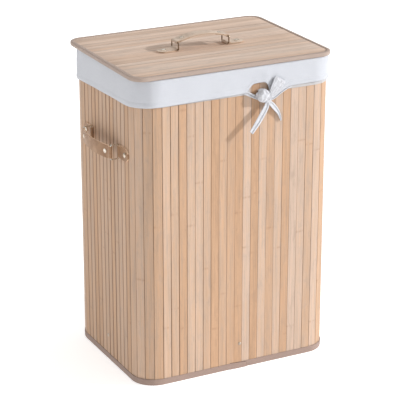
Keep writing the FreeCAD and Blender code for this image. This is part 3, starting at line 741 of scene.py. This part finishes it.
def stitch_line(name, outline, place, pitch, length, material, body):
    """Thread stitches round an outline; place gives a stitch's centre beside a point on the outline."""
    bm = bmesh.new()

    def one(single):
        bmesh.ops.create_uvsphere(single, u_segments=6, v_segments=4, radius=0.5)
        bmesh.ops.scale(single, vec=(length, THREAD_T, THREAD_T), verts=single.verts)

    matrices = []
    count = int(outline.length / pitch)
    for k in range(count):
        co = outline.at(k * outline.length / count)
        here = place(co)
        forward = (place(outline.at((k + 0.3) * outline.length / count)) - here).normalized()
        side = outline.outward(co).cross(forward).normalized()
        matrices.append(axes(here, forward, side, forward.cross(side)))
    put_all(bm, one, matrices)
    add_piece(name, bm, material, body, sharp=180)


def wall_tapes(material, thread):
    """The tapes folded over the wall's lower and upper edges, and the lower one's stitches."""
    inside, face, floor, slack = -SLAT_T - 1.25 * MM, 0.05 * MM + TAPE_T / 2, TAPE_T / 2, 0.18 * MM
    rows = [(face, TAPE_H + 0.3 * MM, slack), (face, TAPE_H - MM, slack), (face + 0.1 * MM, 6 * MM, slack),
            (face, 1.5 * MM, 0), (face - 0.35 * MM, floor + 0.15 * MM, 0), (-MM, floor, 0),
            (-2 * MM, floor, 0), (inside + 0.3 * MM, floor + 0.15 * MM, 0), (inside, 1.5 * MM, 0),
            (inside, 6 * MM, 0), (inside, TAPE_H, 0)]
    band("bottom_tape", WALL, rows, material, "hamper", "bottom_binding")
    upside_down = [(out, RIM_Z - z, 0) for out, z, _ in rows]
    band("top_tape", WALL, upside_down, material, "hamper", "top_binding")

    def stitch(co):
        return WALL.beside(co, face + TAPE_T / 2, TAPE_H - 2.2 * MM)

    stitch_line("bottom_tape_stitches", WALL, stitch, 3.6 * MM, 2.3 * MM, thread, "hamper")


def lid_tape(material, thread):
    """The tape folded round the lid's edge, and its stitches."""
    top, low, side = LID_HIGH.z - TAPE_T / 2, LID_LOW.z + TAPE_T / 2, -TAPE_T / 2
    rows = [(-7.2 * MM, top, 0.1 * MM), (-6 * MM, top, 0), (-3.5 * MM, top, 0),
            (-1.7 * MM, top - 0.1 * MM, 0), (side - 0.45 * MM, top - 0.6 * MM, 0),
            (side, top - 1.8 * MM, 0), (side, (top + low) / 2, 0), (side, low + 1.8 * MM, 0),
            (side - 0.45 * MM, low + 0.6 * MM, 0),
            (-1.7 * MM, low + 0.1 * MM, 0), (-3.5 * MM, low, 0), (-7 * MM, low, 0)]
    band("lid_tape", LID, rows, material, "lid", "lid_binding")

    def stitch(co):
        return LID.beside(co, -5.6 * MM, top + TAPE_T / 2)

    stitch_line("lid_tape_stitches", LID, stitch, 3.6 * MM, 2.3 * MM, thread, "lid")


def tape_end(material, edge_material):
    """The bottom tape's free end, lapped over its start at the front: rounded corner, dark edge."""
    left, right, height, thick = -16 * MM, 19 * MM, 13.6 * MM, 0.75 * MM
    face = WALL_LOW.y - 0.05 * MM - TAPE_T - 0.35 * MM
    bm = bmesh.new()
    block(bm, Vector((left, face - thick / 2, 0)), Vector((right, face + thick / 2, height)))
    corner = [e for e in bm.edges if all(v.co.x > right - MM and v.co.z > height - MM for v in e.verts)]
    for v in corner[0].verts:
        v.co.z -= 2.6 * MM
    rounded(bm, corner, 4 * MM, 8)
    front = [e for e in bm.edges if all(v.co.y < face and v.co.z > 0 for v in e.verts)
             and e.calc_face_angle() > 1]
    rounded(bm, front, 0.65 * MM, 3, material=1)
    cut(bm, "X", [left + (right - left) * k / 8 for k in range(1, 8)])
    for v in bm.verts:
        v.co.y += thick * max(0.0, 1 - (v.co.x - left) / (14 * MM))
    uv = bm.loops.layers.uv.new("weave")
    for loop in [l for f in bm.faces for l in f.loops]:
        loop[uv].uv = (loop.vert.co.x, loop.vert.co.z)
    piece = add_piece("bottom_tape_end", bm, material, "hamper")
    piece.data.materials.append(edge_material)


# ======== Liner

def hem_z(co):
    """The cuff's lower edge beside a point: it hangs unevenly and lifts in an arch at the bow."""
    s, t = (co.x / WALL.half_x + 1) / 2, (co.y / WALL.half_y + 1) / 2
    front = HEM_CORNERS[-1, -1] * (1 - s) + HEM_CORNERS[1, -1] * s
    back = HEM_CORNERS[-1, 1] * (1 - s) + HEM_CORNERS[1, 1] * s
    z = front * (1 - t) + back * t
    z += 0.9 * MM * noise.noise(Vector((co.x * 16, co.y * 16, 3)))
    first, last = HEM_AT_BOW[0][0] * MM, HEM_AT_BOW[-1][0] * MM
    if co.y < 0 and first < co.x < last:
        ease = min(1.0, (co.x - first) / (5 * MM), (last - co.x) / (20 * MM))
        z += (between(HEM_AT_BOW, co.x / MM) * MM - z) * ease
    return z


def hem_share(low):
    """Where the hem's seam lies on a cuff that starts at that height."""
    return min(0.45, HEM_H / max(CUFF_TOP - low, MM))


def cuff_point(co, share):
    """A point on the cuff's middle surface, from the hem at share 0 to the fold at share 1."""
    low = hem_z(co)
    z = low + (CUFF_TOP - low) * share
    soft = 1 - share ** 3
    roll = 0.5 + 0.5 * noise.noise(Vector((co.x * 19, co.y * 19, z * 14)))
    fine = 0.5 + 0.5 * noise.noise(Vector((co.x * 60, co.y * 60, z * 34 + 5)))
    out = CLOTH_OUT + (1.7 * roll + 0.55 * fine) * MM * soft
    hem = hem_share(low)
    if share < hem:
        out += 0.3 * MM * math.sin(math.pi * share / hem) + 0.3 * MM * roll
    out -= 0.3 * MM * math.exp(-((share - hem) / 0.05) ** 2) * soft
    if co.y < 0:
        dx, dz = co.x - KNOT.x, z - KNOT.z
        reach = math.hypot(dx, dz)
        pull = math.exp(-(max(0.0, reach - 16 * MM) / (26 * MM)) ** 1.5)
        out += 0.8 * MM * pull * (1 + math.sin(13 * math.atan2(dz, dx)))
    return WALL.beside(co, max(out, CLOTH_OUT), z)


def bag_point(co, z, depth):
    """A point on the bag's wall, which hangs in soft upright folds."""
    around = Vector((co.x * 26, co.y * 26, z * 2.2))
    fold = 0.5 + 0.5 * noise.noise(around) + 0.25 * noise.noise(around * 2.6)
    return WALL.beside(co, BAG_IN - depth * max(0.0, fold), z)


def rim_point(co, out, drop):
    """A point where the cloth lies over the rim."""
    return WALL.beside(co, out * MM, RIM_CLOTH_Z - drop * MM)


def bend_point(co, inset, lift):
    """A point where the bag's wall bends into its bottom."""
    return WALL.beside(bag_point(co, BOTTOM_Z, 5 * MM), BAG_IN - (5 + inset) * MM, BOTTOM_Z + lift * MM)


def bottom_point(co, share):
    """A point on the bag's slightly wavy bottom, that share of the way out from its middle."""
    edge = WALL.beside(co, BAG_IN - 14 * MM, 0)
    flat = Vector((WALL.x + (edge.x - WALL.x) * share, WALL.y + (edge.y - WALL.y) * share, BOTTOM_Z))
    flat.z += 2.2 * MM * max(0.0, noise.noise(Vector((flat.x * 14, flat.y * 14, 1))))
    return flat


def at_point(point, *settings):
    """One of the point functions above with its settings, as a function of a point on the outline."""
    return lambda co: point(co, *settings)


def liner(material, thread):
    """The whole bag as one sheet: hem, cuff, over the rim, down the inside and across the bottom."""
    bm = bmesh.new()
    travel = bm.verts.layers.float.new("travel")
    ring = outline_ring(bm, WALL, 3.6 * MM, 16)
    shares = [0, 0.04, 0.09, 0.14, 0.175, 0.2, 0.23, 0.28, 0.36, 0.45, 0.54, 0.63, 0.72, 0.81, 0.9, 1.0]
    places = [at_point(cuff_point, share) for share in shares]
    for out, drop in ((2.2, 1.2), (1.4, 0.3), (0.2, 0), (-2.5, 0), (-5.5, 0), (-8.5, 0.1), (-10.6, 0.5),
                      (-11.6, 1.6)):
        places.append(at_point(rim_point, out, drop))
    high, low = RIM_CLOTH_Z - 3 * MM, BAG_LOW + 9 * MM
    for k in range(1, 19):
        places.append(at_point(bag_point, high - (high - low) * k / 18, 6 * MM * min(1.0, k / 4)))
    for inset, lift in ((1, 4), (4, 1.4), (9, 0)):
        places.append(at_point(bend_point, inset, lift))
    for share in (0.85, 0.68, 0.5, 0.32, 0.15, 0.04):
        places.append(at_point(bottom_point, share))
    last = sweep(bm, ring, places, travel)
    bmesh.ops.edgeloop_fill(bm, edges=last)
    lay_uv(bm, WALL, travel)
    bmesh.ops.recalc_face_normals(bm, faces=bm.faces)
    piece = add_piece("cotton_liner", bm, material, "liner",
                      ["liner_bottom", "liner_bag", "liner_fold", "liner_cuff"], sharp=180, thick=CLOTH_T)

    def seam(co):
        return cuff_point(co, hem_share(hem_z(co))) + WALL.outward(co) * CLOTH_T * 0.55

    stitch_line("hem_stitches", WALL, seam, 3.2 * MM, 2.1 * MM, thread, "liner")


# ======== Bow

def smooth_path(points, steps):
    """Points on a smooth line through the given ones."""
    line = []
    for k in range(len(points) - 1):
        a, b = points[k], points[k + 1]
        before, after = points[max(k - 1, 0)], points[min(k + 2, len(points) - 1)]
        line += geometry.interpolate_bezier(a, a + (b - before) / 6, b - (after - a) / 6, b, steps)[:-1]
    return line + [points[-1]]


def strip(name, points, section, facing, widths, material, replaces=(), crumple=0.0,
          steps=7):
    """Cotton tape: a section of (across, lift) points, drawn along a path and facing one way.

    facing is a direction, or a function of the share of the path that is done.
    widths are (width, rise) pairs: millimetres across, and how much of its lift the section has there.
    """
    bm = bmesh.new()
    travel = bm.verts.layers.float.new("travel")
    path = smooth_path([Vector(p) * MM for p in points], steps)
    spans, rises = ([(k / (len(widths) - 1), pair[i]) for k, pair in enumerate(widths)] for i in (0, 1))
    gone, rows = 0.0, []
    for k, here in enumerate(path):
        forward = (path[min(k + 1, len(path) - 1)] - path[max(k - 1, 0)]).normalized()
        share = k / (len(path) - 1)
        front = facing(share) if callable(facing) else Vector(facing)
        across = forward.cross(front).normalized()
        lift = across.cross(forward).normalized()
        width, rise = between(spans, share), between(rises, share)
        gone += (here - path[k - 1]).length if k else 0.0
        row = []
        for a, up in section:
            co = here + (across * a * width + lift * up * rise) * MM
            co += lift * crumple * MM * (noise.noise(co * 190) + 0.5 * noise.noise(co * 450))
            row.append(co)
        rows.append((row, gone))
    first = [bm.verts.new(co) for co in rows[0][0]]
    edges = [bm.edges.new(pair) for pair in zip(first, first[1:])]
    line = first
    for row, length in rows[1:]:
        fresh, edges = extruded(bm, edges)
        line = [next(e.other_vert(v) for e in v.link_edges if e.other_vert(v) in fresh) for v in line]
        for v, co in zip(line, row):
            v.co, v[travel] = co, length
    uv = bm.loops.layers.uv.new("weave")
    for loop in [l for f in bm.faces for l in f.loops]:
        loop[uv].uv = (loop.vert.co.dot(Vector((0.7, 0, 0.7))), loop.vert[travel])
    piece = add_piece(name, bm, material, "liner", replaces, sharp=180, thick=0.45 * MM)
    rounder = piece.modifiers.new("rounder", "SUBSURF")
    rounder.levels = rounder.render_levels = 1


# A flat tape whose two edges are folded in, so that they nearly meet along the middle.
FOLDED = [(-0.16, 0.7), (-0.3, 1.5), (-0.46, 1.4), (-0.5, 0.7), (-0.42, 0.1), (-0.15, 0),
          (0.15, 0), (0.42, 0.1), (0.5, 0.7), (0.46, 1.4), (0.3, 1.5), (0.16, 0.7)]
# A gathered tape, and one that is gathered and puffed out.
PLEATED = [(-0.5, 0.2), (-0.4, 1.0), (-0.29, 0.1), (-0.18, 1.2), (-0.06, 0.3),
           (0.06, 1.3), (0.19, 0.2), (0.3, 1.1), (0.4, 0.0), (0.5, 0.8)]
PUFFED = [(-0.44, -4.6), (-0.5, -3.0), (-0.47, -1.4), (-0.38, -0.2), (-0.27, 0.1), (-0.15, 1.0),
          (-0.03, 0.5), (0.09, 1.1), (0.21, 0.2), (0.33, 0.3), (0.44, -1.1), (0.5, -2.8), (0.45, -4.4)]


def plain(*widths):
    """Widths in millimetres at the section's own lift."""
    return [(width, 1) for width in widths]


def turning(away):
    """The way a loop's outer face looks: to the wall, then away from the knot, then to the front."""
    away = Vector(away).normalized()
    return lambda share: Vector((0, math.cos(math.pi * share), 0)) + away * math.sin(math.pi * share)


def loop_path(tip, thick, belly):
    """From the knot out along the wall to the tip and back in front, widest apart at belly."""
    start = KNOT / MM
    reach = Vector((tip[0], 0, tip[1])) - Vector((start.x, 0, start.z))
    wall = start.y + 2.0
    stations = [(0.02, 0.6), (0.3, 0.15), (0.62, 0.0), (0.88, 0.0), (1.0, 0.5), (0.9, 0.97),
                (belly, 1.0), (0.3, 0.75), (0.04, 0.5)]
    return [(start.x + reach.x * along, wall - thick * out, start.z + reach.z * along)
            for along, out in stations]


def bow(material):
    """The tie, with its points in millimetres: ends out of the hem, a knot, two loops and two tails."""
    kx, ky, kz = KNOT / MM
    back = CUFF_FRONT / MM
    outwards = (0, -1, 0)
    path = [(8, back + 0.4, 543.5), (14, back - 0.2, 541.5), (24, back + 0.6, 536.5),
            (36, back + 0.6, 530.5), (47, ky + 1.6, 526.5), (kx - 2, ky + 0.6, kz)]
    strip("tie_from_left", path, FOLDED, outwards, plain(5.5, 7.2, 7.2, 6.6, 5.5), material)
    path = [(104, back - 0.6, 545.5), (94, back - 0.8, 542.5), (80, back - 1.2, 535.5),
            (68, back - 1.4, 528), (kx + 2, ky + 0.4, kz)]
    strip("tie_from_right", path, FOLDED, outwards, plain(5.5, 6.5, 6.5, 6, 5), material,
          ["tie_ends"])
    strip("left_loop", loop_path((34, 543.5), 10.5, 0.6), PUFFED, turning((-0.75, -0.2, 0.65)),
          [(8, 0.2), (20, 0.6), (25, 0.9), (22, 1.0), (15, 0.9), (22, 1.0), (26, 1.1), (21, 0.8), (8, 0.2)],
          material, crumple=4.2)
    strip("right_loop", loop_path((79, 561.5), 3.8, 0.65), PLEATED, turning((0.5, -0.2, 0.85)),
          [(7, 1), (15, 1), (22, 1.1), (24, 1.2), (22, 1.4), (24, 1.6), (22, 1.8), (14, 1.6), (7, 1)],
          material, ["bow_loops"], crumple=1.5)
    path = [(kx - 1, ky - 0.5, kz - 2), (48.5, ky - 3.5, 514), (38.5, ky - 7, 502), (26.5, ky - 10.5, 488),
            (12.5, ky - 13.5, 473)]
    strip("long_tail", path, FOLDED, outwards, plain(7, 10.5, 12, 12, 11, 8.6), material,
          ["bow_tails"])
    path = [(kx + 1, ky - 0.5, kz - 2), (61, ky + 1.5, 517), (70, ky + 4, 508), (79, ky + 5, 496),
            (84.5, ky + 5.4, 480.5)]
    strip("short_tail", path, FOLDED, (0.4, -1, 0.3), plain(7, 9.5, 11.5, 10.5, 7, 2.4), material)
    steps, turn = 12, 0.7  # the knot's tape winds round in that many steps of that many radians
    path = [(kx + 0.4 * math.sin(k), ky + (3.3 + 0.02 * k) * math.cos(k * turn),
             kz + (5.2 + 0.04 * k) * math.sin(k * turn)) for k in range(steps + 1)]

    def outside(share):
        return 0, math.cos(steps * turn * share), math.sin(steps * turn * share)

    strip("tied_knot", path, PLEATED, outside, plain(8, 10, 11, 10.5, 11, 10, 8), material,
          ["bow_knot"], crumple=0.8, steps=4)


# ======== Leather and the CAD pieces that keep their shape

def leather_piece(node, material, body, width_axis):
    """A leather piece with softened edges and marked cut sides, made from its node's solid."""
    bm = bmesh.new()
    bm.from_mesh(nodes[node].data)
    bmesh.ops.remove_doubles(bm, verts=bm.verts, dist=0.002 * MM)
    bmesh.ops.dissolve_limit(bm, angle_limit=math.radians(0.5), verts=bm.verts, edges=bm.edges)
    edges = [e for e in bm.edges if len(e.link_faces) == 2 and e.calc_face_angle() > math.radians(35)]
    rounded(bm, edges, 0.35 * MM, 3, clamp=True)
    bmesh.ops.triangulate(bm, faces=[f for f in bm.faces if len(f.verts) > 4])
    # The cut sides are marked for their own colour, which on the side handles is also a painted highlight.
    edge = bm.faces.layers.float.new("edge")
    for face in bm.faces:
        face[edge] = float(abs(face.normal[width_axis]) > 0.4)
    add_piece(f"{node}_leather", bm, material, body, [node], sharp=40)


def carry_over(names, material):
    """Gives CAD pieces a finish and leaves their shape as it is."""
    for name in names:
        mesh = nodes[name].data
        mesh.materials.clear()
        mesh.materials.append(material)


def handle(name, ends, panel, leather, ring, rivet, washer):
    """One strap handle's leather and metal, on the lid or the hamper."""
    width_axis = 1 if panel == "lid" else 2
    for end in ends:
        leather_piece(f"{name}_tab_{end}", leather, panel, width_axis)
    leather_piece(f"{name}_strap", leather, f"{name}_strap", width_axis)
    carry_over([f"{name}_ring_{end}" for end in ends], ring)
    carry_over([f"{name}_tab_rivets", f"{name}_strap_rivets"], rivet)
    carry_over([f"{name}_washers"], washer)


def main():
    camera()
    studio()
    wall_slats(bamboo_finish("wall_bamboo", "Z", WALL_TONES))
    lid_slats(bamboo_finish("lid_bamboo", "X", LID_TONES_WITH_PAINTED_SHEEN, broad=0.8))
    tape = woven_finish("binding_tape", ribs=True, sheen=0.1)
    wall_tapes(tape, woven_finish("tape_thread", vector="Object"))
    lid_tape(woven_finish("lid_tape", ribs=True, sheen=0.1), woven_finish("lid_thread", vector="Object"))
    tape_end(tape, woven_finish("tape_edge", ribs=True))
    liner(woven_finish("liner_cotton", wear=0.16), woven_finish("white_thread", vector="Object"))
    bow(woven_finish("ribbon_cotton", wear=0.2))
    side_leather, side_ring = leather_finish("side_leather"), metal_finish("side_ring_metal")
    rivet, steel = metal_finish("plated_rivets"), metal_finish("steel_wire")
    handle("lid_handle", ("left", "right"), "lid", leather_finish("lid_leather_painted_lighter"),
           metal_finish("lid_ring_metal_painted_dark"), rivet, steel)
    handle("left_handle", ("rear", "front"), "hamper", side_leather, side_ring, rivet, steel)
    handle("right_handle", ("front", "rear"), "hamper", side_leather, side_ring, rivet, steel)
    # The backing cloth is painted dark brown: a painted shade for the gaps between the slats where it shows
    # through.
    carry_over(["backing_cloth"], felt_finish("backing_cloth", (0.34, 0.25, 0.18), (0.24, 0.17, 0.12)))
    carry_over(["lid_lining"], felt_finish("lid_lining", (0.46, 0.42, 0.37), (0.34, 0.30, 0.26)))
    carry_over(["lid_board", "base_board"], board_finish())
    carry_over(["lower_wire_frame", "upper_wire_frame"], steel)
    carry_over(["lower_clip_rivets", "upper_clip_rivets"], metal_finish("dull_rivets"))
    carry_over(["lower_wire_clips", "upper_wire_clips"], woven_finish("clip_webbing", vector="Object"))
    carry_over(["drawstring"], woven_finish("drawstring_cotton", vector="Object"))


main()
